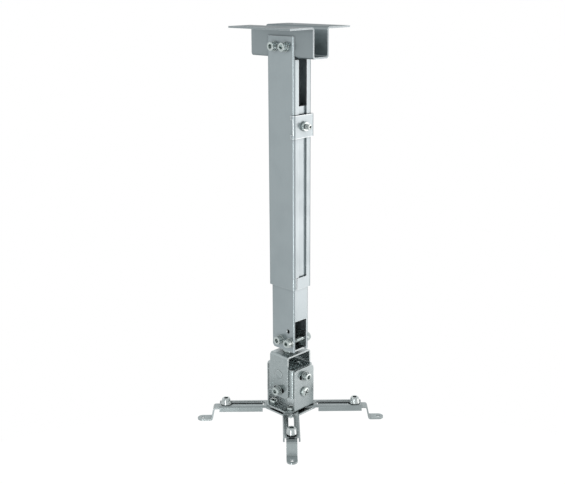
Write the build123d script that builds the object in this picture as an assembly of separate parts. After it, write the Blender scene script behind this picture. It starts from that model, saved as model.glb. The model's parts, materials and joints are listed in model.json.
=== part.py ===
from build123d import *

# Ceiling mount for a projector, in millimetres, Z up.
# The origin is the centre of the ceiling plate's upper face and the column hangs down the Z axis.
# The outer column is open along its +X side. The four arms lie on the plan's diagonals.
import os
from math import sqrt

# Sheet metal and fits
sheet = 2.0               # folded steel of the brackets, arms and feet
fold = 1.5                # inside radius of a fold
slip = 0.1                # gap between flat faces that turn or slide on each other
running = 0.05            # radial gap of a pin that turns in its hole
seat_gap = 0.25           # side gap of a fork or saddle on what it straddles
column_gap = 0.4          # side gap of the inner column in the outer one
screw_gap = 0.3           # radial gap of a screw in its clearance hole

# Screws, washers and nuts
screw_r = 3.0             # cross bolts, lock bolts and clamp screw
head_r = 5.0
head_height = 6.0
head_edge = 0.6           # chamfer of a socket head
key_width = 5.0           # across the flats of the hexagon socket
key_depth = 3.0
set_key_width = 3.0       # hexagon socket of the clamp's set screw
washer_r = 5.7
washer_thick = 1.4
nut_width = 10.0          # across the flats
nut_height = 5.0
thread_end = 1.5          # length of thread that stands out of a nut
pan_r = 6.0               # pan head of the roll pivot screws
pan_height = 3.4
pan_edge = 1.5            # chamfer of a pan head's rim
cross_width = 1.2         # arm of the cross recess
cross_length = 6.0
cross_depth = 1.6
pivot_pan_r = 4.6         # pan head of the arm pivot screws
pivot_pan_height = 3.0
pivot_screw_r = 2.5
pivot_nut_width = 8.0
pivot_nut_height = 4.0
pivot_cross_length = 4.6

# Ceiling bracket, a plate split by a channel that hangs from it
plate_side = 96.6
channel_width = 25.6
channel_depth = 34.2
ceiling_slot_length = 14.0
ceiling_slot_x = 33.0     # from the centre to each slot's middle
ceiling_slot_y = 37.0

# Outer column, a folded C-section
column_x = 42.2
column_lip = 8.5          # width of each lip beside the gap
column_top = 10.6         # upper end of the fork below the ceiling
column_bottom = 305.7
shoulder_gap = 2.0        # from the channel's floor to the column's cut shoulder
cross_bolt_x = 8.5        # half the spacing of the bolts at the top
cross_bolt_z = 22.0
stop_height = 14.2        # tab that closes the gap at the foot
stop_reach = 9.6          # how far the tab reaches past the middle
slit = 0.9                # saw cut round the tab

# Inner column, a rectangular tube
inner_sheet = 1.8
inner_length = 298.2
inner_out = 80.9          # how far it stands out of the outer column at rest
inner_corner = 2.2
window_height = 39.5
window_strip = 4.0        # what is left of the open side at the rear
tube_hole_r = 2.75
tube_hole_x = 8.7
tube_hole_rise = 25.6
foot_bolt_x = 8.0         # half the spacing of the bolts at the foot
foot_bolt_shift = 4.0     # towards the open side
foot_bolt_rise = 12.0
foot_corner = 4.0         # corner cut off the tube's foot at the rear

# Clamp that rides on the open side
clamp_height = 26.4
clamp_below_top = 9.3     # from the inner column's top to the clamp's top
clamp_hook = 3.2          # how far a hook laps the column's side
clamp_hook_height = 4.6
clamp_rear_lap = 2.4
clamp_screw_out = 9.4     # how far the screw stands out of the plate
clamp_screw_length = 24.0
lock_nut_width = 10.0
lock_nut_height = 3.6

# Swivel at the foot of the inner column
swivel_length = 33.0
swivel_ear = 21.0
swivel_pin_r = 4.0
swivel_spacer_r = 9.0
swivel_spacer = 5.1       # clear height between the tube's foot and the upper bracket
swivel_head_width = 13.0
swivel_head_height = 5.3
swivel_nut_height = 5.0

# Upper bracket of the head, an inverted U
upper_x = 30.2
upper_y = 40.8
upper_height = 55.8
ear_chamfer = 4.2
tilt_drop = 25.8          # from the bracket's top to the tilt axis
tilt_lock_radius = 20.9
lock_sweep = 15.0         # swing each way that a lock slot allows, degrees
rivet_r = 4.0
rivet_head_r = 5.6
rivet_head = 1.2

# Cross block, a short folded box
block_x = 43.6
block_corner = 4.2
block_rise = 9.6          # from the tilt axis to the block's top
block_height = 37.6

# Lower bracket, a U on the hub's top plate
axis_spacing = 22.0       # from the tilt axis down to the roll axis
roll_lock_radius = 20.9
roll_pin_r = 3.0
lower_ear_y = 33.2
lower_ear_rise = 31.4     # from the roll axis to the ear's top
lower_floor = 21.5        # from the roll axis to the floor's upper face
lower_ear_corner = 4.0
hub_y = 51.2
hub_corner = 8.6          # chamfer of the hub's top plate
hub_lower_side = 54.0
hub_lower_corner = 9.5

# Arms, pressed channels that swing about pivots on the plan's diagonals
arm_pivot = 15.0          # pivot's offset along X and along Y
arm_length = 67.8         # from pivot to outer end
arm_width = 20.5
arm_depth = 7.0
arm_wall_start = 13.6     # from the pivot, past the lower plate's corners as the arm swings
arm_fold = 2.4
bead_width = 11.6
bead_depth = 1.0
bead_start = 10.0
arm_slot_width = 6.6
arm_slot_start = 12.0
arm_slot_margin = 4.0     # metal left at the slot's outer end

# Feet, strips bent twice
foot_width = 13.0
foot_back = 7.8           # from the stud to the upper leg's inner end
foot_overhang = 15.0      # from the stud to where the strip turns down
foot_reach = 29.9         # from the stud to the foot's hole
foot_lean = 3.2
foot_drop = 15.7
foot_hole_r = 2.4
foot_fold = 1.4
stud_r = 2.5
stud_inset = 8.2          # from the arm's outer end to the stud at rest

# Thumb nuts, smooth domed nuts with a flange
thumb_flange_r = 6.5
thumb_flange = 1.0
thumb_top_r = 4.4
thumb_bulge = 0.9         # how far the dome's side bows out of a straight taper
thumb_height = 8.6
thumb_collar_r = 5.4
thumb_recess = 3.8        # how far the stud ends below the nut's top

# Worked out from the sizes above
column_y = channel_width + 2 * seat_gap + 2 * sheet
inner_x = column_x - 2 * sheet - 2 * column_gap
inner_y = column_y - 2 * sheet - 2 * column_gap
inner_bottom = column_bottom + inner_out
inner_top = inner_bottom - inner_length
upper_top = inner_bottom + swivel_spacer
tilt_z = -(upper_top + tilt_drop)
roll_z = tilt_z - axis_spacing
block_y = upper_y - 2 * sheet - 2 * seat_gap
lower_x = block_x + 2 * seat_gap + 2 * sheet
hub_top = roll_z - lower_floor
hub_under = hub_top - sheet
arm_top = hub_under - slip
hub_lower_top = arm_top - sheet - slip
foot_leg_top = arm_top - sheet - bead_depth - slip
foot_stud = arm_length - stud_inset
thumb_bore_r = stud_r + running
screw_hole_r = screw_r + screw_gap


def pointing(direction, x=0.0, y=0.0, z=0.0):
    """Place for a piece whose own +Z is to point along a direction."""
    return Plane(origin=(x, y, z), z_dir=direction).location


def disc(radius, height, start=0.0):
    """Cylinder on Z that rises from a start height."""
    return Pos(0, 0, start) * Cylinder(radius, height, align=(Align.CENTER, Align.CENTER, Align.MIN))


def hexagon(across_flats, height, start=0.0):
    """Six-sided prism on Z that rises from a start height."""
    face = RegularPolygon(across_flats / 2, 6, major_radius=False)
    return Pos(0, 0, start) * extrude(face, height)


def box(x_range, y_range, z_range):
    """Box between low and high values on each axis."""
    spans = [high - low for low, high in (x_range, y_range, z_range)]
    middles = [(high + low) / 2 for low, high in (x_range, y_range, z_range)]
    return Pos(*middles) * Box(*spans)


def socket_screw(length):
    """Socket head screw: head above Z = 0, shank below it."""
    head = chamfer(disc(head_r, head_height).edges().group_by(Axis.Z)[-1], head_edge)
    key = hexagon(key_width, key_depth, head_height - key_depth)
    return head + disc(screw_r, length, -length) - key


def pan_screw(radius, height, shank_r, length, cross):
    """Pan head screw with a cross recess: head above Z = 0, shank below it."""
    head = chamfer(disc(radius, height).edges().group_by(Axis.Z)[-1], pan_edge)
    recess = Box(cross, cross_width, cross_depth) + Box(cross_width, cross, cross_depth)
    return head + disc(shank_r, length, -length) - Pos(0, 0, height - cross_depth / 2) * recess


def washer(inner, outer, thick):
    """Flat washer that rises from Z = 0."""
    return disc(outer, thick) - disc(inner, thick)


def nut(across_flats, height, bore):
    """Hexagon nut that rises from Z = 0."""
    return hexagon(across_flats, height) - disc(bore, height)


def folded(points, radii, span):
    """Sheet bent along a line of points, extruded both ways to a whole span."""
    line = FilletPolyline(*points, radius=radii)
    return extrude(trace(line, sheet), span / 2, both=True)


def arc_slot(radius, middle, sweep, width, depth):
    """Curved slot cutter about Z, its middle at an angle, cut both ways."""
    line = CenterArc((0, 0), radius, middle - sweep, 2 * sweep)
    return extrude(SlotArc(line, width), depth, both=True)


def ceiling_bracket():
    """Plate and channel folded from one sheet, with four slots."""
    side = plate_side / 2
    wall = channel_width / 2 - sheet / 2
    floor = -channel_depth + sheet / 2
    outline = [(-side, -sheet / 2), (-wall, -sheet / 2), (-wall, floor)]
    outline += [(-x, z) for x, z in reversed(outline)]
    bracket = Plane.YZ * folded(outline, fold + sheet / 2, plate_side)
    slot = extrude(SlotOverall(ceiling_slot_length, 2 * screw_hole_r), 2 * sheet, both=True)
    for x in (-ceiling_slot_x, ceiling_slot_x):
        for y in (-ceiling_slot_y, ceiling_slot_y):
            bracket -= Pos(x, y, 0) * slot
    for x in (-cross_bolt_x, cross_bolt_x):
        bracket -= Pos(x, 0, -cross_bolt_z) * Rot(90, 0, 0) * Cylinder(screw_hole_r, column_y)
    return bracket


def outer_column():
    """C-section with a fork at the top and a stop tab at the foot."""
    wall_x = column_x / 2 - sheet / 2
    wall_y = column_y / 2 - sheet / 2
    lip_edge = column_y / 2 - column_lip
    outline = [(wall_x, -lip_edge), (wall_x, -wall_y), (-wall_x, -wall_y)]
    outline += [(x, -y) for x, y in reversed(outline)]
    height = column_bottom - column_top
    column = Pos(0, 0, -(column_top + column_bottom) / 2) * folded(outline, fold + sheet / 2, height)
    shoulder = -channel_depth - shoulder_gap
    inside_y = column_y / 2 - sheet
    column -= box((-column_x, column_x), (-inside_y, inside_y), (shoulder, 0))
    inside_x = column_x / 2 - sheet
    tab_top = stop_height - column_bottom
    freed = box((inside_x, column_x / 2), (-stop_reach - slit, -lip_edge), (-column_bottom, tab_top + slit))
    tab = box((inside_x, column_x / 2), (-stop_reach, lip_edge), (-column_bottom, tab_top))
    column = column - freed + tab
    for x in (-cross_bolt_x, cross_bolt_x):
        column -= Pos(x, 0, -cross_bolt_z) * Rot(90, 0, 0) * Cylinder(screw_hole_r, 2 * column_y)
    return column


def inner_column():
    """Rectangular tube with a window at its foot."""
    section = RectangleRounded(inner_x, inner_y, inner_corner)
    inside_x = inner_x / 2 - inner_sheet
    inside_y = inner_y / 2 - inner_sheet
    hollow = RectangleRounded(2 * inside_x, 2 * inside_y, inner_corner - inner_sheet)
    tube = Pos(0, 0, -inner_bottom) * extrude(section - hollow, inner_length)
    window_top = window_height - inner_bottom
    tube -= box((inside_x, inner_x), (-inside_y, inner_y / 2 - window_strip), (-inner_bottom, window_top))
    for x in foot_bolt_places():
        tube -= Pos(x, 0, foot_bolt_rise - inner_bottom) * Rot(90, 0, 0) * Cylinder(screw_hole_r, column_y)
    near_wall = Pos(tube_hole_x, -inner_y / 2, tube_hole_rise - inner_bottom)
    tube -= near_wall * Rot(90, 0, 0) * Cylinder(tube_hole_r, inner_y)
    tube -= Pos(inner_x / 2, 0, clamp_middle()) * Rot(0, 90, 0) * Cylinder(screw_hole_r, 4 * inner_sheet)
    wedge = Box(foot_corner * sqrt(2), inner_y, foot_corner * sqrt(2))
    return tube - Pos(-inner_x / 2, 0, -inner_bottom) * Rot(0, 45, 0) * wedge


def foot_bolt_places():
    """X of the two bolts at the inner column's foot."""
    return (foot_bolt_shift - foot_bolt_x, foot_bolt_shift + foot_bolt_x)


def clamp_middle():
    """Height of the clamp screw."""
    return -(inner_top + clamp_below_top + clamp_height / 2)


def cross_bolts(places, z, width):
    """Socket screws along Y through a hollow section, with their washers and nuts."""
    near = -width / 2
    reach = width + 2 * washer_thick + nut_height + thread_end
    washers = []
    bolts = []
    nuts = []
    for x in places:
        bolts.append(pointing((0, -1, 0), x, near - washer_thick, z) * socket_screw(reach))
        washers.append(pointing((0, -1, 0), x, near, z) * washer(screw_r, washer_r, washer_thick))
        washers.append(pointing((0, 1, 0), x, -near, z) * washer(screw_r, washer_r, washer_thick))
        nuts.append(pointing((0, 1, 0), x, washer_thick - near, z) * nut(nut_width, nut_height, screw_r))
    return bolts, washers, nuts


def clamp_plate():
    """Saddle on the column's open side, with two hooks and a rear lap."""
    inside_x = column_x / 2 + seat_gap
    half_y = column_y / 2 + seat_gap + sheet
    middle = clamp_middle()
    low = middle - clamp_height / 2
    high = middle + clamp_height / 2
    front_x = column_x / 2 - clamp_hook
    rear_x = column_x / 2 - clamp_rear_lap
    plate_x = inside_x + sheet / 2
    wall_y = half_y - sheet / 2
    outline = [(front_x, -wall_y), (plate_x, -wall_y), (plate_x, wall_y), (rear_x, wall_y)]
    plate = Pos(0, 0, middle) * folded(outline, fold + sheet / 2, clamp_height)
    between = (low + clamp_hook_height, high - clamp_hook_height)
    plate -= box((0, inside_x), (-half_y, -column_y / 2), between)
    plate -= Pos(plate_x, 0, middle) * Rot(0, 90, 0) * Cylinder(screw_hole_r, 2 * sheet)
    return plate


def clamp_parts():
    """Set screw, its lock nut outside the plate and the weld nut inside the tube."""
    face = column_x / 2 + seat_gap + sheet
    middle = clamp_middle()
    outward = pointing((1, 0, 0), face, 0, middle)
    key = hexagon(set_key_width, key_depth, clamp_screw_out - key_depth)
    screw = disc(screw_r, clamp_screw_length, clamp_screw_out - clamp_screw_length)
    screw = chamfer(screw.edges().group_by(Axis.Z)[-1], head_edge) - key
    lock = nut(lock_nut_width, lock_nut_height, screw_r)
    inward = pointing((-1, 0, 0), inner_x / 2 - inner_sheet, 0, middle)
    return outward * screw, outward * lock, inward * nut(nut_width, nut_height, screw_r)


def swivel_bracket():
    """U inside the tube's foot that the two cross bolts hold."""
    half = inner_y / 2 - inner_sheet - seat_gap - sheet / 2
    floor = sheet / 2 - inner_bottom
    top = swivel_ear - inner_bottom
    outline = [(-half, top), (-half, floor), (half, floor), (half, top)]
    bracket = Plane.YZ * folded(outline, fold + sheet / 2, swivel_length)
    bracket -= disc(swivel_pin_r + running, 2 * sheet, -inner_bottom - sheet / 2)
    for x in foot_bolt_places():
        bracket -= Pos(x, 0, foot_bolt_rise - inner_bottom) * Rot(90, 0, 0) * Cylinder(screw_hole_r, inner_y)
    return bracket


def swivel_parts():
    """Swivel bolt from below, its spacer and the lock nut on the swivel bracket's floor."""
    under_plate = -(upper_top + sheet)
    seat = sheet + slip - inner_bottom
    end = seat + swivel_nut_height + thread_end
    head = hexagon(swivel_head_width, swivel_head_height, under_plate - swivel_head_height)
    bolt = head + disc(swivel_pin_r, end - under_plate, under_plate)
    spacer = washer(swivel_pin_r, swivel_spacer_r, swivel_spacer - slip)
    lock = nut(swivel_head_width, swivel_nut_height, swivel_pin_r)
    return bolt, Pos(0, 0, -upper_top) * spacer, Pos(0, 0, seat) * lock


def upper_bracket():
    """Inverted U with chamfered ears, tilt pivot holes and arc slots."""
    half = upper_y / 2 - sheet / 2
    roof = -upper_top - sheet / 2
    low = -upper_top - upper_height
    outline = [(-half, low), (-half, roof), (half, roof), (half, low)]
    bracket = Plane.YZ * folded(outline, fold + sheet / 2, upper_x)
    bracket = chamfer(bracket.edges().filter_by(Axis.Y).group_by(Axis.Z)[0], ear_chamfer)
    bracket -= disc(swivel_pin_r, 3 * sheet, -upper_top - 2 * sheet)
    pivot = Cylinder(rivet_r, 2 * upper_y)
    slot = arc_slot(tilt_lock_radius, -90, lock_sweep, 2 * screw_hole_r, upper_y)
    bracket -= Pos(0, 0, tilt_z) * Rot(90, 0, 0) * (pivot + slot)
    return bracket


def tilt_rivets():
    """Two rivets that hold the block's walls to the ears."""
    rivets = []
    outer = upper_y / 2
    inner = block_y / 2 - sheet - slip
    for side in (-1, 1):
        rivet = disc(rivet_head_r, rivet_head) + disc(rivet_r, outer - inner, inner - outer)
        rivet += disc(rivet_head_r, rivet_head, inner - outer - rivet_head)
        rivets.append(pointing((0, side, 0), 0, side * outer, tilt_z) * rivet)
    return rivets


def cross_block():
    """Folded box, open above and below, with the holes of both axes."""
    section = RectangleRounded(block_x, block_y, block_corner)
    hollow = RectangleRounded(block_x - 2 * sheet, block_y - 2 * sheet, block_corner - sheet)
    low = tilt_z + block_rise - block_height
    block = Pos(0, 0, low) * extrude(section - hollow, block_height)
    block -= Pos(0, 0, tilt_z) * Rot(90, 0, 0) * Cylinder(rivet_r + running, block_y)
    block -= Pos(0, 0, tilt_z - tilt_lock_radius) * Rot(90, 0, 0) * Cylinder(screw_r, block_y)
    block -= Pos(0, 0, roll_z) * Rot(0, 90, 0) * Cylinder(roll_pin_r, block_x)
    block -= Pos(0, 0, roll_z + roll_lock_radius) * Rot(0, 90, 0) * Cylinder(screw_r, block_x)
    return block


def side_screws(direction, ear, wall, z, screw, head_gap):
    """A screw through each of two ears into a nut on the inside of the block's wall."""
    screws = []
    nuts = []
    for side in (-1, 1):
        outward = tuple(side * value for value in direction)
        inward = tuple(-side * value for value in direction)
        seat = tuple(side * (ear + head_gap) * value for value in direction)
        inside = tuple(side * (wall - sheet) * value for value in direction)
        screws.append(pointing(outward, seat[0], seat[1], z) * screw)
        nuts.append(pointing(inward, inside[0], inside[1], z) * nut(nut_width, nut_height, screw_r))
    return screws, nuts


def lock_bolt(ear, wall):
    """Socket screw with its washer, long enough to pass the nut inside the block."""
    length = ear + slip + washer_thick - (wall - sheet) + nut_height + thread_end
    return Pos(0, 0, washer_thick) * socket_screw(length)


def lock_washers(direction, ear, z):
    """Washers under the heads of a pair of lock bolts."""
    washers = []
    for side in (-1, 1):
        outward = tuple(side * value for value in direction)
        seat = tuple(side * (ear + slip) * value for value in direction)
        washers.append(pointing(outward, seat[0], seat[1], z) * washer(screw_r, washer_r, washer_thick))
    return washers


def lower_bracket():
    """U whose floor is the hub's top plate."""
    half = lower_x / 2 - sheet / 2
    top = roll_z + lower_ear_rise
    floor = hub_top - sheet / 2
    outline = [(-half, top), (-half, floor), (half, floor), (half, top)]
    bracket = Plane.XZ * folded(outline, fold + sheet / 2, hub_y)
    for side in (-1, 1):
        span = sorted((side * lower_ear_y / 2, side * hub_y))
        bracket -= box((-lower_x, lower_x), span, (hub_top, top))
    rise = bracket.edges().filter_by(Axis.X).group_by(Axis.Z)[-1]
    bracket = fillet(rise, lower_ear_corner)
    plate = Rectangle(lower_x, hub_y)
    plate = chamfer(plate.vertices(), length=hub_corner)
    keep = Pos(0, 0, hub_under) * extrude(plate, top - hub_under)
    bracket &= keep
    bracket -= Pos(0, 0, roll_z) * Rot(0, 90, 0) * Cylinder(roll_pin_r + running, 2 * lower_x)
    slot = arc_slot(roll_lock_radius, 90, lock_sweep, 2 * screw_hole_r, lower_x)
    bracket -= Pos(0, 0, roll_z) * Plane.YZ.location * slot
    for x, y in arm_pivots():
        bracket -= Pos(x, y, hub_top) * Cylinder(pivot_screw_r, 4 * sheet)
    return bracket


def arm_pivots():
    """Plan places of the four arm pivots: left, front, right, rear."""
    signs = [(-1, -1), (1, -1), (1, 1), (-1, 1)]
    return [(x * arm_pivot, y * arm_pivot) for x, y in signs]


def hub_lower_plate():
    """Plate under the arms' tongues."""
    outline = Rectangle(hub_lower_side, hub_lower_side)
    outline = chamfer(outline.vertices(), length=hub_lower_corner)
    plate = Pos(0, 0, hub_lower_top - sheet) * extrude(outline, sheet)
    for x, y in arm_pivots():
        plate -= Pos(x, y, hub_lower_top) * Cylinder(pivot_screw_r, 4 * sheet)
    return plate


def arm_pivot_parts():
    """Screws through the hub and the arms, with nuts under the lower plate."""
    under = hub_lower_top - sheet
    length = hub_top - under + pivot_nut_height + thread_end
    screw = pan_screw(pivot_pan_r, pivot_pan_height, pivot_screw_r, length, pivot_cross_length)
    fixing = nut(pivot_nut_width, pivot_nut_height, pivot_screw_r)
    screws = [Pos(x, y, hub_top) * screw for x, y in arm_pivots()]
    nuts = [Pos(x, y, under) * Rot(180, 0, 0) * fixing for x, y in arm_pivots()]
    return screws, nuts


def arm():
    """One arm along +X from its pivot, its upper face at Z = 0."""
    half = arm_width / 2
    blank = Pos(arm_length / 2, 0) * Rectangle(arm_length, arm_width) + Circle(half)
    body = extrude(blank, -arm_depth)
    long_edges = body.edges().filter_by(Axis.X).group_by(Axis.Z)[-1]
    body = fillet(long_edges, arm_fold)
    under = -sheet
    inside = half - sheet
    body -= box((-arm_width, arm_wall_start), (-arm_width, arm_width), (-arm_depth, under))
    body -= box((arm_wall_start, arm_length), (-inside, inside), (-arm_depth, under))
    bead_end = arm_length + bead_width
    bead = Pos((bead_start + bead_end) / 2, 0) * SlotOverall(bead_end - bead_start, bead_width)
    wider = Pos((bead_start + bead_end) / 2, 0) * SlotOverall(bead_end - bead_start, bead_width + sheet)
    pressed = Pos(0, 0, under) * extrude(wider, -bead_depth)
    pressed &= box((arm_wall_start, arm_length), (-half, half), (-arm_depth, 0))
    body = body + pressed - extrude(bead, -bead_depth)
    slot_end = arm_length - arm_slot_margin
    slot = Pos((arm_slot_start + slot_end) / 2, 0) * SlotOverall(slot_end - arm_slot_start, arm_slot_width)
    body -= extrude(slot, -arm_depth)
    body -= Cylinder(pivot_screw_r + running, 3 * arm_depth)
    return body


def foot_slider():
    """One foot along +X from the arm's pivot, its upper leg's top at Z = 0."""
    high = -sheet / 2
    low = high - foot_drop
    end_r = foot_width / 2
    turn = foot_stud + foot_overhang
    hole = foot_stud + foot_reach
    outline = [(foot_stud - foot_back, high), (turn, high), (turn + foot_lean, low), (hole + end_r, low)]
    strip = Plane.XZ * folded(outline, foot_fold + sheet / 2, foot_width)
    whole = Pos(hole / 2, 0) * Rectangle(hole, foot_width) + Pos(hole, 0) * Circle(end_r)
    strip &= Pos(0, 0, -2 * foot_drop) * extrude(whole, 3 * foot_drop)
    strip -= Pos(hole, 0, low) * Cylinder(foot_hole_r, 2 * sheet)
    strip -= Pos(foot_stud, 0, high) * Cylinder(stud_r, 2 * sheet)
    return strip


def foot_stud_piece():
    """Stud pressed into the slider's upper leg, its own Z = 0 at the leg's top."""
    top = sheet + bead_depth + slip + thumb_height - thumb_recess
    return disc(stud_r, top + sheet, -sheet)


def thumb_nut():
    """Domed nut with a collar that sits in the arm's recess, its collar's foot at Z = 0."""
    seat = bead_depth
    flange_top = seat + thumb_flange
    foot = [(thumb_bore_r, 0), (thumb_collar_r, 0), (thumb_collar_r, seat), (thumb_flange_r, seat)]
    under = Polyline(*foot, (thumb_flange_r, flange_top))
    side = SagittaArc((thumb_flange_r, flange_top), (thumb_top_r, thumb_height), -thumb_bulge)
    top = Polyline((thumb_top_r, thumb_height), (thumb_bore_r, thumb_height), foot[0])
    return revolve(Plane.XZ * make_face(under + side + top), Axis.Z)


def write(name, *pieces):
    """One STEP file for each named node."""
    solids = [solid for piece in pieces for solid in piece.solids()]
    shape = solids[0] if len(solids) == 1 else Compound(solids)
    export_step(shape, f"parts/{name}.step")


os.makedirs("parts", exist_ok=True)

write("ceiling_bracket", ceiling_bracket())
write("outer_column", outer_column())
top_bolts, top_washers, top_nuts = cross_bolts((-cross_bolt_x, cross_bolt_x), -cross_bolt_z, column_y)
write("column_top_bolts", *top_bolts)
write("column_top_washers", *top_washers)
write("column_top_nuts", *top_nuts)

write("inner_column", inner_column())
foot_bolts, foot_washers, foot_nuts = cross_bolts(foot_bolt_places(), foot_bolt_rise - inner_bottom, inner_y)
write("column_foot_bolts", *foot_bolts)
write("column_foot_washers", *foot_washers)
write("column_foot_nuts", *foot_nuts)
write("clamp_plate", clamp_plate())
clamp_screw, clamp_lock_nut, clamp_weld_nut = clamp_parts()
write("clamp_screw", clamp_screw)
write("clamp_lock_nut", clamp_lock_nut)
write("clamp_weld_nut", clamp_weld_nut)
write("swivel_bracket", swivel_bracket())

swivel_bolt, swivel_spacer_ring, swivel_lock_nut = swivel_parts()
write("swivel_bolt", swivel_bolt)
write("swivel_spacer", swivel_spacer_ring)
write("swivel_lock_nut", swivel_lock_nut)
write("upper_bracket", upper_bracket())
write("tilt_rivets", *tilt_rivets())

write("cross_block", cross_block())
along_y = (0, 1, 0)
along_x = (1, 0, 0)
tilt_lock_z = tilt_z - tilt_lock_radius
tilt_bolt = lock_bolt(upper_y / 2, block_y / 2)
tilt_bolts, tilt_nuts = side_screws(along_y, upper_y / 2, block_y / 2, tilt_lock_z, tilt_bolt, slip)
write("tilt_lock_bolts", *tilt_bolts)
write("tilt_lock_washers", *lock_washers(along_y, upper_y / 2, tilt_lock_z))
write("tilt_lock_nuts", *tilt_nuts)
roll_lock_z = roll_z + roll_lock_radius
roll_bolt = lock_bolt(lower_x / 2, block_x / 2)
roll_bolts, roll_nuts = side_screws(along_x, lower_x / 2, block_x / 2, roll_lock_z, roll_bolt, slip)
write("roll_lock_bolts", *roll_bolts)
write("roll_lock_washers", *lock_washers(along_x, lower_x / 2, roll_lock_z))
write("roll_lock_nuts", *roll_nuts)
roll_reach = lower_x / 2 + slip - (block_x / 2 - sheet) + nut_height + thread_end
roll_screw = pan_screw(pan_r, pan_height, roll_pin_r, roll_reach, cross_length)
pivot_screws, pivot_nuts = side_screws(along_x, lower_x / 2, block_x / 2, roll_z, roll_screw, slip)
write("roll_pivot_screws", *pivot_screws)
write("roll_pivot_nuts", *pivot_nuts)

write("lower_bracket", lower_bracket())
write("hub_lower_plate", hub_lower_plate())
arm_screws, arm_nuts = arm_pivot_parts()
write("arm_pivot_screws", *arm_screws)
write("arm_pivot_nuts", *arm_nuts)

arm_names = ("left", "front", "right", "rear")
arm_angles = (225, 315, 45, 135)
for arm_name, angle, (pivot_x, pivot_y) in zip(arm_names, arm_angles, arm_pivots()):
    at_arm = Pos(pivot_x, pivot_y, arm_top) * Rot(0, 0, angle)
    at_foot = Pos(pivot_x, pivot_y, foot_leg_top) * Rot(0, 0, angle)
    at_nut = Pos(pivot_x, pivot_y, arm_top - bead_depth + slip) * Rot(0, 0, angle)
    write(f"arm_{arm_name}", at_arm * arm())
    write(f"foot_{arm_name}", at_foot * foot_slider())
    write(f"foot_stud_{arm_name}", at_foot * Pos(foot_stud, 0, 0) * foot_stud_piece())
    write(f"thumb_nut_{arm_name}", at_nut * Pos(foot_stud, 0, 0) * thumb_nut())
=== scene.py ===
import json
from math import cos, pi, radians, sin, sqrt

import bmesh
import bpy
from mathutils import Euler, Matrix, Vector

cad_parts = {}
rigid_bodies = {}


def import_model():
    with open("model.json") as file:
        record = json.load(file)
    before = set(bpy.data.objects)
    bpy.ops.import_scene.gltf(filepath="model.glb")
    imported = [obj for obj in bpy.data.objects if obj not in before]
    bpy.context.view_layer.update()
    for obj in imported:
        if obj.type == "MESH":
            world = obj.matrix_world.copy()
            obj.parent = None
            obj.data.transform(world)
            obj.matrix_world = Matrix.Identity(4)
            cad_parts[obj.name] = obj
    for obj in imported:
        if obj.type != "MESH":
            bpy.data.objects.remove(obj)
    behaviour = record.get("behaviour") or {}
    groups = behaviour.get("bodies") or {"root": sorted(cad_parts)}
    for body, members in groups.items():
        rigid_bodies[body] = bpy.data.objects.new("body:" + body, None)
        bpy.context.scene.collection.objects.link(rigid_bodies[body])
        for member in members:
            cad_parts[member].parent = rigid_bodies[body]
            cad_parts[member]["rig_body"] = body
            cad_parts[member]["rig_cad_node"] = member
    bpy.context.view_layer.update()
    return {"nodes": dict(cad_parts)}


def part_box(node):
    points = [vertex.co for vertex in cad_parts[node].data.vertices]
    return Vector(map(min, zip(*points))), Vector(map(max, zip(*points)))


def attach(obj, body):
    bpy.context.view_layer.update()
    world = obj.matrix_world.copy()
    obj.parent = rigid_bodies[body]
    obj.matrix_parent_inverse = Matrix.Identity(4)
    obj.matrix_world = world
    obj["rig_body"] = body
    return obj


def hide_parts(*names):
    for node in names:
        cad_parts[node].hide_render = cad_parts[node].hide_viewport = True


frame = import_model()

mm = 0.001
tolerance = {"level": 0.01 * mm, "radius": 0.05 * mm, "merge": 0.002 * mm, "seam": 0.001 * mm}
normalRise = {"top": 0.9, "side": 0.1}     # a top face's normal rises more, a side's less
cutOver = 1 * mm     # how far a cutter reaches past the face that it enters


# Working in object and edit mode

def activateNothing():
    if bpy.context.mode != "OBJECT":
        bpy.ops.object.mode_set(mode="OBJECT")
    bpy.ops.object.select_all(action="DESELECT")


def activate(piece):
    activateNothing()
    piece.select_set(True)
    bpy.context.view_layer.objects.active = piece


def startEdit(piece, kind="FACE"):
    activate(piece)
    bpy.ops.object.mode_set(mode="EDIT")
    bpy.ops.mesh.select_mode(type=kind)
    bpy.ops.mesh.select_all(action="DESELECT")


def endEdit():
    bpy.ops.object.mode_set(mode="OBJECT")


def pick(piece, parts, test):
    # selects the faces, edges or verts that pass the test
    shape = bmesh.from_edit_mesh(piece.data)
    choices = {"faces": shape.faces, "edges": shape.edges, "verts": shape.verts}
    for part in choices[parts]:
        part.select_set(test(part))
    if parts == "verts":
        shape.select_flush(True)
    bmesh.update_edit_mesh(piece.data)


def finishWith(piece, kind, **values):
    activate(piece)
    modifier = piece.modifiers.new(kind.title(), kind)
    for key, value in values.items():
        setattr(modifier, key, value)
    bpy.ops.object.modifier_apply(modifier=modifier.name)


def combine(piece, other, operation):
    finishWith(piece, "BOOLEAN", operation=operation, object=other, solver="EXACT")
    bpy.data.objects.remove(other)


def joinTo(piece, *others):
    activate(piece)
    for other in others:
        other.select_set(True)
    bpy.ops.object.join()


def discard(*pieces):
    for piece in pieces:
        bpy.data.objects.remove(piece)


def addCylinder(name, radius, height, sides, start=0.0):
    activateNothing()
    middle = (0, 0, start + height / 2)
    bpy.ops.mesh.primitive_cylinder_add(vertices=sides, radius=radius, depth=height, location=middle)
    piece = bpy.context.active_object
    piece.name = name
    bpy.ops.object.transform_apply(location=True, rotation=True, scale=True)
    return piece


def isTop(height):
    def test(face):
        level = abs(face.calc_center_median().z - height) < tolerance["level"]
        return level and face.normal.z > normalRise["top"]
    return test


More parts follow.
